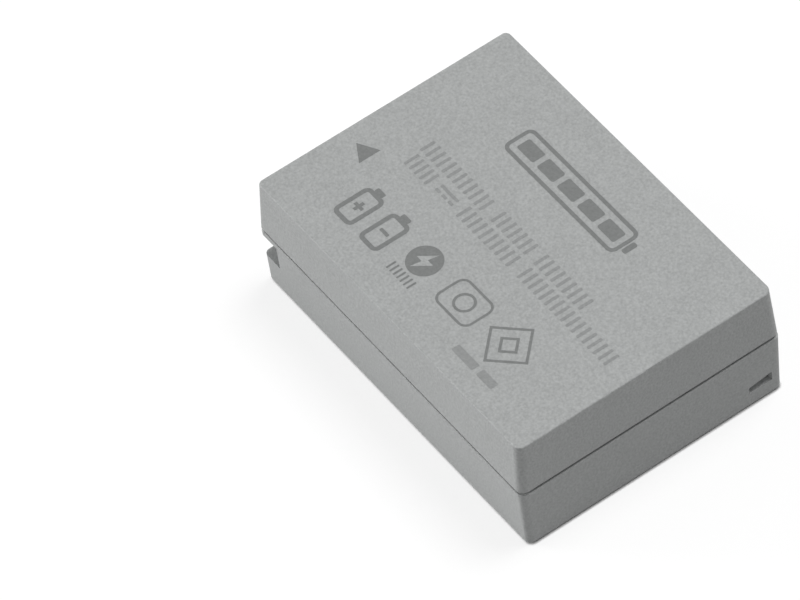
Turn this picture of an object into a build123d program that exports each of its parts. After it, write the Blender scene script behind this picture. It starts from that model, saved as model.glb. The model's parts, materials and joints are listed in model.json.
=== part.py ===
from build123d import *
from math import radians, tan
import os

# A rechargeable camera battery: two moulded case halves, welded at a stepped seam, hold two flat
# cells in series, a protection board and three contact plates behind windows in one short end.
# It lies on its broad bottom face. X is the long axis with the contacts at the -X end, Y is the
# short axis, and the origin is the centre of the bottom face. Millimetres and degrees.

# Case halves
case_length = 45.4
case_width = 32.5
case_height = 15.2
seam_height = 8.0
wall = 0.9
lower_end_draft = 0.2
lower_side_draft = 1.7
upper_end_draft = 2.0
upper_side_draft = 3.4
contact_end_radius = 0.65
lower_far_radius = 0.75
upper_far_radius = 0.95
cavity_radius = 0.4
top_edge_radius = 0.15
bottom_edge_radius = 0.3
rim_edge_chamfer = 0.1

# Stepped seam: the lower case has a lip, and a shadow gap shows between the two rims
seam_gap = 0.36
lip_thickness = 0.4
lip_height = 0.95
lip_clearance = 0.05

# Clip notches in both corners of the contact end, and the posts behind them
notch_length = 2.9
notch_depth = 1.6
notch_base = 4.1
notch_height = 3.3
notch_radius = 0.3
notch_wall = 0.8

# Fingernail pocket in the far end, taller at the end next to the case corner
pocket_length = 2.9
pocket_offset = 1.47
pocket_base = 2.0
pocket_tall_end = 1.25
pocket_low_end = 0.85
pocket_depth = 0.7
pocket_taper = 6.0

# Contacts and their windows
contact_pitch = 4.6
contact_side_distance = 7.65
contact_thickness = 0.4
contact_margin = 0.35
contact_radius = 0.4
window_width = 2.6
window_height = 4.8
window_base = 1.6
window_radius = 0.4
window_taper = 6.0

# Plus and minus signs sunk into the contact end over their windows
sign_size = 1.1
sign_line = 0.36
sign_depth = 0.25

# Protection board
board_thickness = 0.8
board_grip = 0.7
board_clearance = 0.05
board_headroom = 0.2
board_radius = 0.5

# Cells and what holds them
cell_side_clearance = 0.15
cell_edge_radius = 2.2
cell_end_chamfer = 0.5
cell_round_limit = 0.45
header_clearance = 0.7
tape_thickness = 0.2
foam_thickness = 0.4
sheet_margin = 0.6

# Cell terminals
terminal_height = 0.4
rivet_head_radius = 1.3
rivet_shank_radius = 0.6
rivet_depth = 1.2
gasket_flange = 0.15
gasket_radius = 1.7
gasket_collar_radius = 1.0
weld_plate_inset = 4.8
weld_plate_width = 4.0
weld_plate_height = 3.4

# Header insulator
insulator_thickness = 0.2
insulator_clearance = 0.2

# Nickel leads
lead_thickness = 0.15
lead_width = 3.0
lead_bend_radius = 0.35
lead_weld_length = 1.2
lead_reach = 2.4
lead_foot_length = 1.8

# Parts on the inner face of the board: width, height, thickness
protection_chip_size = (2.9, 1.6, 1.1)
mosfet_size = (4.4, 3.0, 0.9)
thermistor_size = (1.6, 0.8, 0.8)
fuse_size = (3.2, 1.6, 0.6)
capacitor_size = (1.6, 0.8, 0.8)
resistor_size = (1.0, 0.5, 0.35)
small_chip_pitch = 2.2
chip_edge_chamfer = 0.1
fuse_inset = 3.6
mosfet_gap = 2.2
thermistor_inset = 5.8
capacitor_inset = 4.0
resistor_inset = 8.3

# Case levels and the space inside
upper_rim = seam_height + seam_gap
lip_top = seam_height + lip_height
rim_length = case_length - 2 * rim_edge_chamfer
rim_width = case_width - 2 * rim_edge_chamfer
lower_rise = seam_height - rim_edge_chamfer
lower_end_slope = tan(radians(lower_end_draft))
bottom_length = case_length - 2 * lower_rise * lower_end_slope
bottom_width = case_width - 2 * lower_rise * tan(radians(lower_side_draft))
upper_rise = case_height - upper_rim - rim_edge_chamfer
top_length = case_length - 2 * upper_rise * tan(radians(upper_end_draft))
top_width = case_width - 2 * upper_rise * tan(radians(upper_side_draft))
cavity_length = min(bottom_length, top_length) - 2 * wall
cavity_width = min(bottom_width, top_width) - 2 * wall
cavity_height = case_height - 2 * wall
end_wall = (case_length - cavity_length) / 2

# Places along X, from the contact end to the far end
contact_face = -cavity_length / 2
board_outer = contact_face + contact_thickness
board_inner = board_outer + board_thickness
post_end = -case_length / 2 + notch_length + notch_wall
header = post_end + header_clearance
cell_end = cavity_length / 2 - foam_thickness
cell_length = cell_end - header
lead_back = header - terminal_height

# Places along Y
groove_floor = case_width / 2 - notch_depth - notch_wall
post_inner = groove_floor - board_grip
board_width = 2 * (groove_floor - board_clearance)
cell_width = cavity_width - 2 * cell_side_clearance
weld_plate_place = cell_width / 2 - weld_plate_inset
last_contact = case_width / 2 - contact_side_distance
fuse_place = fuse_inset - board_width / 2
mosfet_place = fuse_place + fuse_size[0] / 2 + mosfet_gap + mosfet_size[0] / 2
thermistor_place = board_width / 2 - thermistor_inset
first_capacitor = capacitor_inset - board_width / 2
last_resistor = board_width / 2 - resistor_inset

# Levels of the stacked cells
cell_thickness = (cavity_height - 3 * tape_thickness) / 2
cell_rounding = min(cell_edge_radius, cell_round_limit * cell_thickness)
lower_cell_base = wall + tape_thickness
upper_cell_base = lower_cell_base + cell_thickness + tape_thickness
lower_row = lower_cell_base + cell_thickness / 2
upper_row = upper_cell_base + cell_thickness / 2
middle_row = (lower_row + upper_row) / 2
board_height = cavity_height - board_headroom


def case_outline(level, length, width, far_radius):
    """Plan outline of the case, with its own corner radius at the far end."""
    with BuildSketch(Plane.XY.offset(level)) as outline:
        Rectangle(length, width)
        fillet(outline.vertices().group_by(Axis.X)[0], radius=contact_end_radius)
        fillet(outline.vertices().group_by(Axis.X)[-1], radius=far_radius)
    return outline.sketch


def cavity_outline(level, margin):
    """Plan outline of the space inside the case, widened by a margin all round."""
    with BuildSketch(Plane.XY.offset(level)) as outline:
        RectangleRounded(
            cavity_length + 2 * margin, cavity_width + 2 * margin, cavity_radius + margin
        )
    return outline.sketch


def write(piece, name):
    """Name a finished piece and write its STEP file."""
    piece.part.label = name
    export_step(piece.part, f"parts/{name}.step")


os.makedirs("parts", exist_ok=True)

# Lower case: drafted tub, lip, board posts, clip notches, windows, signs and fingernail pocket
contact_end = Plane.YZ.offset(-case_length / 2)
far_end = Plane(origin=(case_length / 2, 0, 0), x_dir=(0, -1, 0), z_dir=(-1, 0, 0))
pocket_right = pocket_offset - case_width / 2
pocket_left = pocket_right + pocket_length
pocket_inset = (lower_rise - pocket_base) * lower_end_slope
contact_places = [last_contact - contact_pitch * step for step in (2, 1, 0)]
window_middle = window_base + window_height / 2
sign_level = (window_base + window_height + lower_rise) / 2

with BuildPart() as lower_case:
    loft(
        sections=[
            case_outline(0, bottom_length, bottom_width, lower_far_radius),
            case_outline(lower_rise, case_length, case_width, lower_far_radius),
            case_outline(seam_height, rim_length, rim_width, lower_far_radius),
        ],
        ruled=True,
    )
    fillet(lower_case.faces().sort_by(Axis.Z)[0].edges(), radius=bottom_edge_radius)
    extrude(cavity_outline(seam_height, lip_thickness), amount=lip_height)
    extrude(cavity_outline(wall, 0), amount=lip_top - wall, mode=Mode.SUBTRACT)
    with BuildSketch(Plane.XY.offset(wall)):
        with Locations((contact_face, -cavity_width / 2)):
            Rectangle(
                post_end - contact_face, cavity_width / 2 - post_inner, align=(Align.MIN, Align.MIN)
            )
        with Locations((board_outer - board_clearance, -groove_floor)):
            Rectangle(
                board_thickness + 2 * board_clearance,
                board_grip,
                align=(Align.MIN, Align.MIN),
                mode=Mode.SUBTRACT,
            )
        mirror(about=Plane.XZ)
    extrude(amount=seam_height - wall)
    with BuildSketch(Plane.XY.offset(notch_base)):
        with Locations((-case_length / 2, -case_width / 2), (-case_length / 2, case_width / 2)):
            RectangleRounded(2 * notch_length, 2 * notch_depth, notch_radius)
    extrude(amount=notch_height, mode=Mode.SUBTRACT)
    with BuildSketch(contact_end):
        with Locations([(place, window_middle) for place in contact_places]):
            RectangleRounded(window_width, window_height, window_radius)
    extrude(amount=end_wall, taper=window_taper, mode=Mode.SUBTRACT)
    with BuildSketch(contact_end):
        with Locations((contact_places[0], sign_level), (contact_places[-1], sign_level)):
            Rectangle(sign_size, sign_line)
        with Locations((contact_places[-1], sign_level)):
            Rectangle(sign_line, sign_size)
    extrude(amount=sign_depth, mode=Mode.SUBTRACT)
    with BuildSketch(far_end):
        with BuildLine():
            Polyline(
                (pocket_right, pocket_base),
                (pocket_right, pocket_base + pocket_tall_end),
                (pocket_left, pocket_base + pocket_low_end),
                (pocket_left, pocket_base),
                close=True,
            )
        make_face()
    extrude(amount=pocket_inset + pocket_depth, taper=pocket_taper, mode=Mode.SUBTRACT)
write(lower_case, "lower_case")

# Upper case: drafted lid with a rebate that seats on the lip
with BuildPart() as upper_case:
    loft(
        sections=[
            case_outline(upper_rim, rim_length, rim_width, upper_far_radius),
            case_outline(upper_rim + rim_edge_chamfer, case_length, case_width, upper_far_radius),
            case_outline(case_height, top_length, top_width, upper_far_radius),
        ],
        ruled=True,
    )
    fillet(upper_case.faces().sort_by(Axis.Z)[-1].edges(), radius=top_edge_radius)
    extrude(
        cavity_outline(upper_rim, lip_thickness + lip_clearance),
        amount=lip_top - upper_rim,
        mode=Mode.SUBTRACT,
    )
    extrude(
        cavity_outline(upper_rim, 0),
        amount=case_height - wall - upper_rim,
        mode=Mode.SUBTRACT,
    )
write(upper_case, "upper_case")

# Two flat cells, one over the other, each with a riveted terminal and a weld plate on its header
for side, row, plate_place in (
    ("lower", lower_row, weld_plate_place),
    ("upper", upper_row, -weld_plate_place),
):
    rivet_axis = Axis((0, 0, row), (1, 0, 0))

    with BuildPart() as cell:
        with BuildSketch(Plane.YZ.offset(header)):
            with Locations((0, row)):
                RectangleRounded(cell_width, cell_thickness, cell_rounding)
        extrude(amount=cell_length)
        chamfer(cell.faces().sort_by(Axis.X)[-1].edges(), length=cell_end_chamfer)
        with BuildSketch(Plane.YZ.offset(header)):
            with Locations((0, row)):
                Circle(gasket_collar_radius)
        extrude(amount=rivet_depth, mode=Mode.SUBTRACT)
    write(cell, f"{side}_cell")

    with BuildPart() as gasket:
        with BuildSketch(Plane.XZ):
            with BuildLine():
                Polyline(
                    (header - gasket_flange, row + rivet_shank_radius),
                    (header - gasket_flange, row + gasket_radius),
                    (header, row + gasket_radius),
                    (header, row + gasket_collar_radius),
                    (header + rivet_depth, row + gasket_collar_radius),
                    (header + rivet_depth, row + rivet_shank_radius),
                    close=True,
                )
            make_face()
        revolve(axis=rivet_axis)
    write(gasket, f"{side}_cell_gasket")

    with BuildPart() as terminal:
        with BuildSketch(Plane.XZ):
            with BuildLine():
                Polyline(
                    (lead_back, row),
                    (lead_back, row + rivet_head_radius),
                    (header - gasket_flange, row + rivet_head_radius),
                    (header - gasket_flange, row + rivet_shank_radius),
                    (header + rivet_depth, row + rivet_shank_radius),
                    (header + rivet_depth, row),
                    close=True,
                )
            make_face()
        revolve(axis=rivet_axis)
    write(terminal, f"{side}_cell_terminal")

    with BuildPart() as weld_plate:
        with BuildSketch(Plane.YZ.offset(lead_back)):
            with Locations((plate_place, row)):
                Rectangle(weld_plate_width, weld_plate_height)
        extrude(amount=terminal_height)
    write(weld_plate, f"{side}_cell_weld_plate")

# Adhesive sheets under and over the cells, and the tape between them
sheet_inset = cell_rounding + sheet_margin
for name, level in (
    ("lower_adhesive_sheet", wall),
    ("cell_tape", upper_cell_base - tape_thickness),
    ("upper_adhesive_sheet", upper_cell_base + cell_thickness),
):
    with BuildPart() as sheet:
        with BuildSketch(Plane.XY.offset(level)):
            with Locations(((header + cell_end) / 2, 0)):
                Rectangle(cell_length - 2 * sheet_inset, cell_width - 2 * sheet_inset)
        extrude(amount=tape_thickness)
    write(sheet, name)

# Foam pad between the cell ends and the far end wall
with BuildPart() as foam_pad:
    with BuildSketch(Plane.YZ.offset(cell_end)):
        with Locations((0, middle_row)):
            Rectangle(cell_width - 2 * sheet_inset, upper_row - lower_row)
    extrude(amount=foam_thickness)
write(foam_pad, "end_foam_pad")

# Insulating paper on both cell headers, cut out round the terminals and the weld plates
with BuildPart() as header_insulator:
    with BuildSketch(Plane.YZ.offset(header - insulator_thickness)):
        with Locations((0, middle_row)):
            Rectangle(
                cell_width - 2 * sheet_margin, upper_row - lower_row + cell_thickness - 2 * sheet_margin
            )
        with Locations((0, lower_row), (0, upper_row)):
            Circle(gasket_radius + insulator_clearance, mode=Mode.SUBTRACT)
        with Locations((weld_plate_place, lower_row), (-weld_plate_place, upper_row)):
            Rectangle(
                weld_plate_width + 2 * insulator_clearance,
                weld_plate_height + 2 * insulator_clearance,
                mode=Mode.SUBTRACT,
            )
    extrude(amount=insulator_thickness)
write(header_insulator, "header_insulator")

# Protection board, standing in the grooves of the posts
with BuildPart() as circuit_board:
    with BuildSketch(Plane.YZ.offset(board_outer)):
        with Locations((0, wall + board_height / 2)):
            RectangleRounded(board_width, board_height, board_radius)
    extrude(amount=board_thickness)
write(circuit_board, "circuit_board")

# Contact plates, on the outer face of the board behind the windows
for name, place in zip(("minus_contact", "thermistor_contact", "plus_contact"), contact_places):
    with BuildPart() as contact:
        with BuildSketch(Plane.YZ.offset(contact_face)):
            with Locations((place, window_middle)):
                RectangleRounded(
                    window_width + 2 * contact_margin,
                    window_height + 2 * contact_margin,
                    contact_radius,
                )
        extrude(amount=contact_thickness)
    write(contact, name)

# Nickel link from the upper cell's terminal to the lower cell's weld plate
with BuildPart() as series_link:
    with BuildSketch(Plane.YZ.offset(lead_back - lead_thickness)):
        with BuildLine():
            Polyline(
                (-lead_weld_length, upper_row),
                (weld_plate_place, upper_row),
                (weld_plate_place, lower_row - lead_weld_length),
            )
        trace(line_width=lead_width)
    extrude(amount=lead_thickness)
write(series_link, "series_link")

# Folded nickel leads from the cells to the board: weld foot, web and solder foot
for name, place, direction, row, seat in (
    ("positive_lead", -weld_plate_place, 1, upper_row, lead_back),
    ("middle_lead", weld_plate_place, -1, upper_row, lead_back - lead_thickness),
    ("negative_lead", 0, 1, lower_row, lead_back),
):
    weld_line = seat - lead_thickness / 2
    solder_line = board_inner + lead_thickness / 2
    web = place + direction * lead_reach
    with BuildPart() as lead:
        with BuildSketch(Plane.XY.offset(row - lead_width / 2)):
            with BuildLine():
                FilletPolyline(
                    (weld_line, place - direction * lead_weld_length),
                    (weld_line, web),
                    (solder_line, web),
                    (solder_line, web + direction * lead_foot_length),
                    radius=lead_bend_radius,
                )
            trace(line_width=lead_thickness)
        extrude(amount=lead_width)
    write(lead, name)

# Chips on the inner face of the board
small_row = [small_chip_pitch * step for step in (0, 1, 2)]
for name, size, places in (
    ("protection_chip", protection_chip_size, [(0, upper_row)]),
    ("mosfet_switch", mosfet_size, [(mosfet_place, lower_row)]),
    ("thermistor", thermistor_size, [(thermistor_place, lower_row)]),
    ("chip_fuse", fuse_size, [(fuse_place, lower_row)]),
    ("chip_capacitors", capacitor_size, [(first_capacitor + step, middle_row) for step in small_row]),
    ("chip_resistors", resistor_size, [(last_resistor - step, middle_row) for step in small_row]),
):
    chip_width, chip_height, chip_thickness = size
    with BuildPart() as chip:
        with BuildSketch(Plane.YZ.offset(board_inner)):
            with Locations(places):
                Rectangle(chip_width, chip_height)
        extrude(amount=chip_thickness)
        chamfer(chip.faces().group_by(Axis.X)[-1].edges(), length=chip_edge_chamfer)
    write(chip, name)
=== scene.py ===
import json
import math

import bmesh
import bpy
from mathutils import Matrix, Vector
from mathutils.geometry import tessellate_polygon


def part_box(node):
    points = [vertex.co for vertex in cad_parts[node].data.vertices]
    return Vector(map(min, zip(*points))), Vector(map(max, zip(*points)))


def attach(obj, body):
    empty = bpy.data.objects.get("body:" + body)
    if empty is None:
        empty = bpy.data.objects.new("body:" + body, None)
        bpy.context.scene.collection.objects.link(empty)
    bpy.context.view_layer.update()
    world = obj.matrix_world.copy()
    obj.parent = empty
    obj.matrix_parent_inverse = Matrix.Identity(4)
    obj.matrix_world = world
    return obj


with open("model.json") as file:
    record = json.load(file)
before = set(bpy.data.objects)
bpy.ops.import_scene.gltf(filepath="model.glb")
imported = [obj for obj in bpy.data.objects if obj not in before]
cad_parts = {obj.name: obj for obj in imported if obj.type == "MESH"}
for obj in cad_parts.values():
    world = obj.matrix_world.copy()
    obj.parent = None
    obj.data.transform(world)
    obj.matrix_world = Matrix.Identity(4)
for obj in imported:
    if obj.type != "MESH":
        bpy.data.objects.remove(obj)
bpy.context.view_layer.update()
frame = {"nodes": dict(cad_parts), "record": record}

MM = 0.001
BODY = "root"
WHITE = (1.0, 1.0, 1.0, 1.0)

# Camera, from the photograph's vanishing points: degrees, metres, and a lens for a 36 mm sensor
VIEW_AZIMUTH = 60.257
VIEW_ELEVATION = 50.749
VIEW_ROLL = -7.898
VIEW_DISTANCE = 0.79910
VIEW_LENS = 351.46
AIM_RIGHT = -12.637 * MM
AIM_UP = 3.099 * MM

# Lights: a soft box overhead and towards the back, and a low one off the near corner of the contact end
OVERHEAD_DIRECTION = (0.02, 0.40, 0.92)
OVERHEAD_STRENGTH = 1.53
OVERHEAD_ANGLE = 30.0
SIDE_DIRECTION = (-0.80, -0.60, 0.08)
SIDE_STRENGTH = 3.27
SIDE_ANGLE = 30.0

# Room and floor: an even pale light on the object, and white where they are seen
AMBIENT = 0.40
SEEN_WHITE = 1.0
FLOOR_HALF = 1.5
FLOOR_LEVEL = -0.02 * MM
FLOOR_BOUNCE = 0.5
FLOOR_SHADOW_SHARE = 0.30
FLOOR_GLOW = 0.75

# Contact line, a painted contact shadow: the floor's glow fades where rays that lean this way meet a wall
# within reach
CONTACT_LEAN = (-0.7, -0.07, 0.7)
CONTACT_REACH = 0.4 * MM
CONTACT_CLOSED = 0.46
CONTACT_OPEN = 0.56
CONTACT_SAMPLES = 4

# Grain: the band that noise mostly keeps to, its levels of detail, and stretches along the axes
NOISE_LOW = 0.3
NOISE_HIGH = 0.7
MOTTLE_DETAIL = 2.0
GRAIN_DETAIL = 3.0
MARKS_DETAIL = 4.0
EVEN = (1.0, 1.0, 1.0)
DRAWN_ALONG_X = (0.05, 1.0, 1.0)
WIPED_ALONG_XZ = (1.0, 12.0, 1.0)

# Case colour and its moulded texture
CASE_DARK = (0.317, 0.325, 0.323, 1.0)
CASE_LIGHT = (0.436, 0.447, 0.444, 1.0)
CASE_GRAIN = 0.26 * MM
CASE_MOTTLE = 4.0 * MM
CASE_MOTTLE_SHARE = 0.1
CASE_RELIEF = 0.04 * MM
CASE_ROUGHNESS = (0.48, 0.62)
CASE_SPECULAR = 0.35

# Print, in two depths of ink
INK_DARK = (0.168, 0.175, 0.172, 1.0)
INK_LIGHT = (0.208, 0.215, 0.212, 1.0)
FINE_INK_DARK = (0.245, 0.252, 0.250, 1.0)
FINE_INK_LIGHT = (0.297, 0.305, 0.303, 1.0)
INK_ROUGHNESS = (0.45, 0.60)
INK_THICKNESS = 0.012 * MM
INK_LIFT = 0.002 * MM

# Steps of a whole circle, and of one rounded corner
CIRCLE_STEPS = 48
CORNER_STEPS = 4
FRAME_CORNER_STEPS = 8

# Print layout, in millimetres from the middle of the broad face

# Arrow
ARROW_TIP = (-20.2, -4.95)
ARROW_LENGTH = 2.4
ARROW_HALF_WIDTH = 1.35

# Charge gauge
GAUGE_LEFT = -10.3
GAUGE_RIGHT = 8.3
GAUGE_ROW = 8.15
GAUGE_HEIGHT = 3.9
GAUGE_RADIUS = 0.9
GAUGE_LINE = 0.45
GAUGE_GAP = 0.65
GAUGE_SEGMENTS = 5
GAUGE_SEGMENT_RADIUS = 0.25
GAUGE_NUB_SIZE = (0.7, 1.7)
GAUGE_NUB_RADIUS = 0.2
GAUGE_NUB_GAP = 0.2

# Small print: each word's start and end, and its blocks as shares of the row's height and of their pitch
LINE_HEIGHT = 1.85
FIRST_LINE_BASE = -0.5
FIRST_LINE_WORDS = ((-15.6, -4.5), (-3.4, 3.0), (3.9, 12.3))
SECOND_LINE_BASE = -2.8
SECOND_LINE_WORDS = ((-15.2, -10.9), (-6.2, 3.1), (4.2, 19.6))
SMALL_ROW_HEIGHT = 1.2
SMALL_ROW_BASE = -12.2
SMALL_ROW_WORD = (-5.2, -1.1)
BLOCK_PITCH_OF_HEIGHT = 0.5
BLOCK_RADIUS_OF_HEIGHT = 0.06
BLOCK_WIDTH_OF_PITCH = 0.4

# Direct-current sign: a stroke over three dashes
CURRENT_MIDDLE = -8.6
CURRENT_STROKE_ROW = -1.55
CURRENT_STROKE_LENGTH = 2.9
CURRENT_DASH_ROW = -2.25
CURRENT_DASH_LENGTH = 0.74
CURRENT_DASH_PITCH = 1.08
CURRENT_LINE = 0.36
CURRENT_RADIUS = 0.12

# Two bars, each with its middle and its length
BARS = ((9.55, 3.5), (13.2, 2.5))
BAR_ROW = -12.85
BAR_HEIGHT = 1.0
BAR_RADIUS = 0.15

# Two cell signs, one with a plus and one with a minus
PLUS_CELL = -13.2
MINUS_CELL = -8.75
CELL_ROW = -9.65
CELL_SIZE = (3.1, 4.8)
CELL_RADIUS = 0.8
CELL_LINE = 0.52
CELL_NUB_SIZE = (1.3, 0.6)
CELL_NUB_RADIUS = 0.15
POLE_LENGTH = 1.3
POLE_LINE = 0.4
POLE_RADIUS = 0.1

# Disc with a bolt cut out, whose corners are given from the disc's middle
BOLT_PLACE = (-3.1, -8.7)
BOLT_DISC_RADIUS = 2.0
BOLT_CORNERS = ((0.4, 1.6), (-1.05, -0.25), (-0.2, -0.25), (-0.45, -1.6), (1.05, 0.3), (0.15, 0.3))

# Framed ring
RING_PLACE = (3.85, -8.8)
RING_RADIUS = 1.25
RING_LINE = 0.3
RING_FRAME_SIZE = (5.6, 4.3)
RING_FRAME_RADIUS = 1.1
RING_FRAME_LINE = 0.28

# Two diamonds, one inside the other, each given by half its diagonal
DIAMOND_PLACE = (11.1, -8.6)
DIAMOND_HALVES = (3.2, 1.4)
DIAMOND_LINE = 0.42


# Shader helpers


def grey(value):
    """A grey colour."""
    return (value, value, value, 1.0)


def new_material(name):
    """A material, its node tree and its main shader."""
    material = bpy.data.materials.new(name)
    material.use_nodes = True
    return material, material.node_tree, material.node_tree.nodes["Principled BSDF"]


def grain(tree, size, detail, stretch=EVEN):
    """Noise fixed to the object, with features of about the given size in metres."""
    coordinates = tree.nodes.new("ShaderNodeTexCoord")
    mapping = tree.nodes.new("ShaderNodeMapping")
    mapping.inputs["Scale"].default_value = stretch
    noise = tree.nodes.new("ShaderNodeTexNoise")
    noise.inputs["Scale"].default_value = 1.0 / size
    noise.inputs["Detail"].default_value = detail
    tree.links.new(coordinates.outputs["Object"], mapping.inputs["Vector"])
    tree.links.new(mapping.outputs["Vector"], noise.inputs["Vector"])
    return noise.outputs["Fac"]


def spread(tree, value, low=0.0, high=1.0):
    """Noise gathers round the middle, so its middle band is spread over low to high."""
    band = tree.nodes.new("ShaderNodeMapRange")
    band.inputs["From Min"].default_value = NOISE_LOW
    band.inputs["From Max"].default_value = NOISE_HIGH
    band.inputs["To Min"].default_value = low
    band.inputs["To Max"].default_value = high
    tree.links.new(value, band.inputs["Value"])
    return band.outputs["Result"]


def blend(tree, factor, dark, light):
    """A colour between two ends."""
    mix = tree.nodes.new("ShaderNodeMix")
    mix.data_type = "RGBA"
    mix.inputs["A"].default_value = dark
    mix.inputs["B"].default_value = light
    tree.links.new(factor, mix.inputs["Factor"])
    return mix.outputs["Result"]


def average(tree, first, second, share):
    """A share of the second value with the rest of the first."""
    mix = tree.nodes.new("ShaderNodeMix")
    mix.inputs["Factor"].default_value = share
    tree.links.new(first, mix.inputs["A"])
    tree.links.new(second, mix.inputs["B"])
    return mix.outputs["Result"]


def relief(tree, shader, height, depth):
    """Bump of the given depth in metres."""
    bump = tree.nodes.new("ShaderNodeBump")
    bump.inputs["Distance"].default_value = depth
    tree.links.new(height, bump.inputs["Height"])
    tree.links.new(bump.outputs["Normal"], shader.inputs["Normal"])


# Materials


def case_plastic():
    """Light grey moulded plastic with a fine spark-eroded texture."""
    material, tree, shader = new_material("case_plastic")
    fine = grain(tree, CASE_GRAIN, GRAIN_DETAIL)
    mottle = grain(tree, CASE_MOTTLE, MOTTLE_DETAIL)
    tone = average(tree, fine, mottle, CASE_MOTTLE_SHARE)
    colour = blend(tree, spread(tree, tone), CASE_DARK, CASE_LIGHT)
    tree.links.new(colour, shader.inputs["Base Color"])
    tree.links.new(spread(tree, fine, *CASE_ROUGHNESS), shader.inputs["Roughness"])
    shader.inputs["Specular IOR Level"].default_value = CASE_SPECULAR
    relief(tree, shader, fine, CASE_RELIEF)
    return material


def grained(name, dark, light, size, roughness, depth, metallic=0.0, stretch=EVEN, detail=GRAIN_DETAIL):
    """A surface with its own grain: two colours, a roughness range and a relief."""
    material, tree, shader = new_material(name)
    pattern = grain(tree, size, detail, stretch)
    tree.links.new(blend(tree, spread(tree, pattern), dark, light), shader.inputs["Base Color"])
    tree.links.new(spread(tree, pattern, *roughness), shader.inputs["Roughness"])
    shader.inputs["Metallic"].default_value = metallic
    relief(tree, shader, pattern, depth)
    return material


def print_ink(name, dark, light):
    """Grey pad-print ink, thin enough to take up the texture and the gloss of the case under it."""
    material = grained(name, dark, light, CASE_GRAIN, INK_ROUGHNESS, CASE_RELIEF)
    shader = material.node_tree.nodes["Principled BSDF"]
    shader.inputs["Specular IOR Level"].default_value = CASE_SPECULAR
    return material


def contact_gold():
    """Gold-plated contact plate with fine wiping marks from the pins."""
    return grained(
        "contact_gold",
        dark=(0.74, 0.51, 0.20, 1.0),
        light=(0.83, 0.60, 0.26, 1.0),
        size=0.6 * MM,
        roughness=(0.18, 0.38),
        depth=0.001 * MM,
        metallic=1.0,
        stretch=WIPED_ALONG_XZ,
        detail=MARKS_DETAIL,
    )


def inner_materials():
    """Materials of the pieces sealed inside, by the record's slot."""
    return {
        "cell_can": grained(
            "cell_aluminium", dark=(0.62, 0.63, 0.64, 1.0), light=(0.78, 0.79, 0.80, 1.0), size=0.15 * MM,
            roughness=(0.28, 0.42), depth=0.004 * MM, metallic=1.0, stretch=DRAWN_ALONG_X,
        ),
        "gasket": grained(
            "gasket_plastic", dark=grey(0.035), light=grey(0.06), size=0.3 * MM,
            roughness=(0.4, 0.55), depth=0.01 * MM,
        ),
        "nickel": grained(
            "nickel_strip", dark=(0.55, 0.53, 0.49, 1.0), light=(0.71, 0.69, 0.65, 1.0), size=0.12 * MM,
            roughness=(0.22, 0.36), depth=0.003 * MM, metallic=1.0, stretch=DRAWN_ALONG_X,
        ),
        "board": grained(
            "board_mask", dark=(0.02, 0.13, 0.06, 1.0), light=(0.04, 0.20, 0.10, 1.0), size=1.2 * MM,
            roughness=(0.3, 0.4), depth=0.02 * MM,
        ),
        "chip": grained(
            "chip_resin", dark=grey(0.02), light=grey(0.04), size=0.1 * MM,
            roughness=(0.45, 0.6), depth=0.006 * MM,
        ),
        "passive": grained(
            "chip_ceramic", dark=(0.24, 0.19, 0.13, 1.0), light=(0.36, 0.29, 0.21, 1.0), size=0.2 * MM,
            roughness=(0.4, 0.55), depth=0.006 * MM,
        ),
        "tape": grained(
            "adhesive_film", dark=(0.74, 0.72, 0.64, 1.0), light=(0.84, 0.82, 0.75, 1.0), size=1.5 * MM,
            roughness=(0.35, 0.5), depth=0.01 * MM,
        ),
        "foam": grained(
            "foam_rubber", dark=grey(0.03), light=grey(0.09), size=0.25 * MM,
            roughness=(0.8, 0.95), depth=0.06 * MM,
        ),
        "insulator": grained(
            "fibre_paper", dark=(0.62, 0.49, 0.29, 1.0), light=(0.80, 0.66, 0.43, 1.0), size=0.4 * MM,
            roughness=(0.7, 0.9), depth=0.015 * MM,
        ),
    }


def dress_nodes():
    """Every node takes the material of its slot in the record."""
    by_slot = inner_materials()
    by_slot["case"] = case_plastic()
    by_slot["contact_plate"] = contact_gold()
    for part in frame["record"]["subparts"]:
        node = frame["nodes"][part["node"]]
        node.data.materials.clear()
        node.data.materials.append(by_slot[part["material_slot"]])


# Outlines of the print, as points in millimetres


def circle(x, y, radius):
    """Points of a circle."""
    turns = [2 * math.pi * step / CIRCLE_STEPS for step in range(CIRCLE_STEPS)]
    return [(x + radius * math.cos(t), y + radius * math.sin(t)) for t in turns]


def rounded(x, y, width, height, radius, steps=CORNER_STEPS):
    """Points of a rounded rectangle about its middle."""
    points = []
    for quarter, (sx, sy) in enumerate(((1, 1), (-1, 1), (-1, -1), (1, -1))):
        cx = x + sx * (width / 2 - radius)
        cy = y + sy * (height / 2 - radius)
        for step in range(steps):
            t = math.pi / 2 * (quarter + step / (steps - 1))
            points.append((cx + radius * math.cos(t), cy + radius * math.sin(t)))
    return points


def rounded_frame(x, y, width, height, radius, line):
    """Outline and hole of a rounded frame with the given line width."""
    outer = rounded(x, y, width, height, radius, FRAME_CORNER_STEPS)
    inner = rounded(x, y, width - 2 * line, height - 2 * line, radius - line, FRAME_CORNER_STEPS)
    return (outer, inner)


def plus(x, y, size, line):
    """Points of a plus sign: three corners, turned four times."""
    reach = size / 2
    half = line / 2
    corners = [(reach, -half), (reach, half), (half, half)]
    points = []
    for cos, sin in ((1, 0), (0, 1), (-1, 0), (0, -1)):
        points += [(x + cos * px - sin * py, y + sin * px + cos * py) for px, py in corners]
    return points


def diamond(x, y, half):
    """Points of a square that stands on a corner."""
    return [(x + half, y), (x, y + half), (x - half, y), (x, y - half)]


# Shapes of the print: each is an outline and any holes in it


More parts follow.
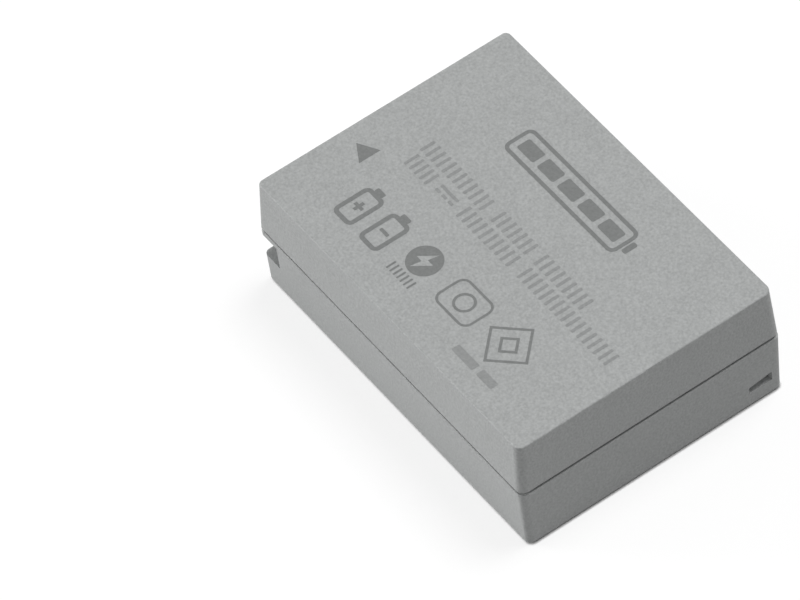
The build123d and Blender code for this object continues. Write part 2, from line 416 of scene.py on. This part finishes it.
def arrow_shapes():
    """Solid triangle that points to the contact end."""
    x, y = ARROW_TIP
    base = x + ARROW_LENGTH
    return [([(x, y), (base, y - ARROW_HALF_WIDTH), (base, y + ARROW_HALF_WIDTH)],)]


def gauge_shapes():
    """Charge gauge: a rounded frame with filled segments and a terminal nub."""
    middle = (GAUGE_LEFT + GAUGE_RIGHT) / 2
    length = GAUGE_RIGHT - GAUGE_LEFT
    nub_middle = GAUGE_RIGHT + GAUGE_NUB_GAP + GAUGE_NUB_SIZE[0] / 2
    shapes = [
        rounded_frame(middle, GAUGE_ROW, length, GAUGE_HEIGHT, GAUGE_RADIUS, GAUGE_LINE),
        (rounded(nub_middle, GAUGE_ROW, *GAUGE_NUB_SIZE, GAUGE_NUB_RADIUS),),
    ]
    room = length - 2 * GAUGE_LINE - GAUGE_GAP
    pitch = room / GAUGE_SEGMENTS
    height = GAUGE_HEIGHT - 2 * GAUGE_LINE - 2 * GAUGE_GAP
    for step in range(GAUGE_SEGMENTS):
        x = middle - room / 2 + pitch * (step + 0.5)
        shapes.append((rounded(x, GAUGE_ROW, pitch - GAUGE_GAP, height, GAUGE_SEGMENT_RADIUS),))
    return shapes


def word_shapes(start, end, base, height):
    """A word of small print as a row of upright blocks."""
    count = round((end - start) / (BLOCK_PITCH_OF_HEIGHT * height))
    pitch = (end - start) / count
    width = BLOCK_WIDTH_OF_PITCH * pitch
    radius = BLOCK_RADIUS_OF_HEIGHT * height
    middles = [start + pitch * (step + 0.5) for step in range(count)]
    return [(rounded(x, base + height / 2, width, height, radius),) for x in middles]


def current_shapes():
    """Direct-current sign."""
    stroke = rounded(
        CURRENT_MIDDLE, CURRENT_STROKE_ROW, CURRENT_STROKE_LENGTH, CURRENT_LINE, CURRENT_RADIUS
    )
    shapes = [(stroke,)]
    for step in (-1, 0, 1):
        x = CURRENT_MIDDLE + CURRENT_DASH_PITCH * step
        shapes.append((rounded(x, CURRENT_DASH_ROW, CURRENT_DASH_LENGTH, CURRENT_LINE, CURRENT_RADIUS),))
    return shapes


def line_shapes():
    """Two lines of small print, with a direct-current sign in the second, and two bars below."""
    shapes = []
    for start, end in FIRST_LINE_WORDS:
        shapes += word_shapes(start, end, FIRST_LINE_BASE, LINE_HEIGHT)
    for start, end in SECOND_LINE_WORDS:
        shapes += word_shapes(start, end, SECOND_LINE_BASE, LINE_HEIGHT)
    shapes += current_shapes()
    for middle, length in BARS:
        shapes.append((rounded(middle, BAR_ROW, length, BAR_HEIGHT, BAR_RADIUS),))
    return shapes


def cell_shapes():
    """Two cell signs, each with a nub on its upper edge, and the signs of their poles."""
    nub_row = CELL_ROW + CELL_SIZE[1] / 2 + CELL_NUB_SIZE[1] / 2
    shapes = []
    for x in (PLUS_CELL, MINUS_CELL):
        shapes.append(rounded_frame(x, CELL_ROW, *CELL_SIZE, CELL_RADIUS, CELL_LINE))
        shapes.append((rounded(x, nub_row, *CELL_NUB_SIZE, CELL_NUB_RADIUS),))
    shapes.append((plus(PLUS_CELL, CELL_ROW, POLE_LENGTH, POLE_LINE),))
    shapes.append((rounded(MINUS_CELL, CELL_ROW, POLE_LENGTH, POLE_LINE, POLE_RADIUS),))
    return shapes


def bolt_shapes():
    """Disc with a bolt cut out."""
    x, y = BOLT_PLACE
    return [(circle(x, y, BOLT_DISC_RADIUS), [(x + px, y + py) for px, py in BOLT_CORNERS])]


def ring_shapes():
    """Ring in a rounded frame."""
    ring = (circle(*RING_PLACE, RING_RADIUS), circle(*RING_PLACE, RING_RADIUS - RING_LINE))
    return [rounded_frame(*RING_PLACE, *RING_FRAME_SIZE, RING_FRAME_RADIUS, RING_FRAME_LINE), ring]


def diamond_shapes():
    """Two diamonds in line, one inside the other."""
    return [
        (diamond(*DIAMOND_PLACE, half), diamond(*DIAMOND_PLACE, half - DIAMOND_LINE))
        for half in DIAMOND_HALVES
    ]


def mark_shapes():
    """A row of plain signs, with a small row of print under the disc."""
    small_row = word_shapes(*SMALL_ROW_WORD, SMALL_ROW_BASE, SMALL_ROW_HEIGHT)
    return cell_shapes() + bolt_shapes() + small_row + ring_shapes() + diamond_shapes()


# Print on the broad face: thin plates of ink


def ink_plate(bm, outline, *holes):
    """A closed thin plate of ink."""
    loops = [outline, *holes]
    points = [point for loop in loops for point in loop]
    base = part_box("upper_case")[1].z + INK_LIFT
    bottom = [bm.verts.new((x * MM, y * MM, base)) for x, y in points]
    top = [bm.verts.new((x * MM, y * MM, base + INK_THICKNESS)) for x, y in points]
    for corners in tessellate_polygon([[Vector((x, y, 0.0)) for x, y in loop] for loop in loops]):
        bm.faces.new([top[i] for i in corners])
        bm.faces.new([bottom[i] for i in corners])
    first = 0
    for loop in loops:
        ring = range(first, first + len(loop))
        for i, j in zip(ring, [*ring[1:], first]):
            bm.faces.new((bottom[i], bottom[j], top[j], top[i]))
        first += len(loop)


def ink_piece(name, shapes, ink):
    """One piece of print, made of plates."""
    bm = bmesh.new()
    for shape in shapes:
        ink_plate(bm, *shape)
    bmesh.ops.recalc_face_normals(bm, faces=bm.faces)
    mesh = bpy.data.meshes.new(name)
    bm.to_mesh(mesh)
    bm.free()
    mesh.materials.append(ink)
    piece = bpy.data.objects.new(name, mesh)
    bpy.context.scene.collection.objects.link(piece)
    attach(piece, BODY)


def make_print():
    """All the print on the broad face."""
    ink = print_ink("print_ink", INK_DARK, INK_LIGHT)
    fine_ink = print_ink("print_ink_fine", FINE_INK_DARK, FINE_INK_LIGHT)
    ink_piece("print_arrow", arrow_shapes(), ink)
    ink_piece("print_gauge", gauge_shapes(), ink)
    ink_piece("print_marks", mark_shapes(), ink)
    ink_piece("print_lines", line_shapes(), fine_ink)


# Stage, light and camera


def seen_rays(tree):
    """One for rays that show the background: from the camera, in gloss and through clear things."""
    path = tree.nodes.new("ShaderNodeLightPath")
    total = path.outputs["Is Camera Ray"]
    for name in ("Is Glossy Ray", "Is Transmission Ray"):
        add = tree.nodes.new("ShaderNodeMath")
        add.use_clamp = True
        tree.links.new(total, add.inputs[0])
        tree.links.new(path.outputs[name], add.inputs[1])
        total = add.outputs["Value"]
    return total


def painted_contact_shadow(tree):
    """Strength of the floor's glow: it fades at the foot of walls that face away from the side light, a
    painted contact shadow.
    """
    lean = tree.nodes.new("ShaderNodeCombineXYZ")
    for axis, value in zip("XYZ", Vector(CONTACT_LEAN).normalized()):
        lean.inputs[axis].default_value = value
    openness = tree.nodes.new("ShaderNodeAmbientOcclusion")
    openness.samples = CONTACT_SAMPLES
    openness.inputs["Distance"].default_value = CONTACT_REACH
    tree.links.new(lean.outputs["Vector"], openness.inputs["Normal"])
    strength = tree.nodes.new("ShaderNodeMapRange")
    strength.inputs["From Min"].default_value = CONTACT_CLOSED
    strength.inputs["From Max"].default_value = CONTACT_OPEN
    strength.inputs["To Max"].default_value = FLOOR_GLOW
    tree.links.new(openness.outputs["AO"], strength.inputs["Value"])
    return strength.outputs["Result"]


def floor_white():
    """Floor surface: dull in the light that it throws back; where seen, a glow with a painted contact
    shadow and the soft cast shadow.
    """
    material = bpy.data.materials.new("floor_white")
    material.use_nodes = True
    tree = material.node_tree
    tree.nodes.clear()
    lit = tree.nodes.new("ShaderNodeBsdfDiffuse")
    lit.inputs["Color"].default_value = grey(FLOOR_BOUNCE)
    shaded = tree.nodes.new("ShaderNodeBsdfDiffuse")
    shaded.inputs["Color"].default_value = grey(FLOOR_SHADOW_SHARE)
    glow = tree.nodes.new("ShaderNodeEmission")
    shown = tree.nodes.new("ShaderNodeAddShader")
    choice = tree.nodes.new("ShaderNodeMixShader")
    output = tree.nodes.new("ShaderNodeOutputMaterial")
    # painted contact shadow: the glow darkens at the foot of the object's walls
    tree.links.new(painted_contact_shadow(tree), glow.inputs["Strength"])
    tree.links.new(shaded.outputs["BSDF"], shown.inputs[0])
    tree.links.new(glow.outputs["Emission"], shown.inputs[1])
    tree.links.new(seen_rays(tree), choice.inputs["Fac"])
    tree.links.new(lit.outputs["BSDF"], choice.inputs[1])
    tree.links.new(shown.outputs["Shader"], choice.inputs[2])
    tree.links.new(choice.outputs["Shader"], output.inputs["Surface"])
    return material


def make_floor():
    """Plain pale floor: white where it is seen, with the object's soft shadow kept."""
    mesh = bpy.data.meshes.new("floor")
    signs = ((-1, -1), (1, -1), (1, 1), (-1, 1))
    corners = [(sx * FLOOR_HALF, sy * FLOOR_HALF, FLOOR_LEVEL) for sx, sy in signs]
    mesh.from_pydata(corners, [], [(0, 1, 2, 3)])
    mesh.materials.append(floor_white())
    floor = bpy.data.objects.new("floor", mesh)
    bpy.context.scene.collection.objects.link(floor)


def make_world():
    """Even pale room light that looks white where it is seen."""
    world = bpy.data.worlds.new("room")
    world.use_nodes = True
    bpy.context.scene.world = world
    tree = world.node_tree
    background = tree.nodes["Background"]
    background.inputs["Color"].default_value = WHITE
    strength = tree.nodes.new("ShaderNodeMapRange")
    strength.inputs["To Min"].default_value = AMBIENT
    strength.inputs["To Max"].default_value = SEEN_WHITE
    tree.links.new(seen_rays(tree), strength.inputs["Value"])
    tree.links.new(strength.outputs["Result"], background.inputs["Strength"])


def make_light(name, direction, strength, angle):
    """Soft light from a far box in the given direction."""
    data = bpy.data.lights.new(name, "SUN")
    data.energy = strength
    data.angle = math.radians(angle)
    light = bpy.data.objects.new(name, data)
    light.rotation_mode = "QUATERNION"
    light.rotation_quaternion = Vector(direction).to_track_quat("Z", "Y")
    light.location = direction
    bpy.context.scene.collection.objects.link(light)


def make_camera():
    """Camera at the photograph's place."""
    azimuth, elevation, roll = (math.radians(v) for v in (VIEW_AZIMUTH, VIEW_ELEVATION, VIEW_ROLL))
    back = Vector((
        math.sin(azimuth) * math.cos(elevation),
        -math.cos(azimuth) * math.cos(elevation),
        math.sin(elevation),
    ))
    level = Vector((math.cos(azimuth), math.sin(azimuth), 0.0))
    right = Matrix.Rotation(roll, 3, back) @ level
    up = back.cross(right)
    data = bpy.data.cameras.new("camera")
    data.lens = VIEW_LENS
    camera = bpy.data.objects.new("camera", data)
    camera.rotation_mode = "QUATERNION"
    camera.rotation_quaternion = Matrix((right, up, back)).transposed().to_quaternion()
    camera.location = right * AIM_RIGHT + up * AIM_UP + back * VIEW_DISTANCE
    bpy.context.scene.collection.objects.link(camera)
    bpy.context.scene.camera = camera


dress_nodes()
make_print()
make_floor()
make_world()
make_light("overhead", OVERHEAD_DIRECTION, OVERHEAD_STRENGTH, OVERHEAD_ANGLE)
make_light("side", SIDE_DIRECTION, SIDE_STRENGTH, SIDE_ANGLE)
make_camera()
bpy.context.scene.view_settings.view_transform = "Standard"
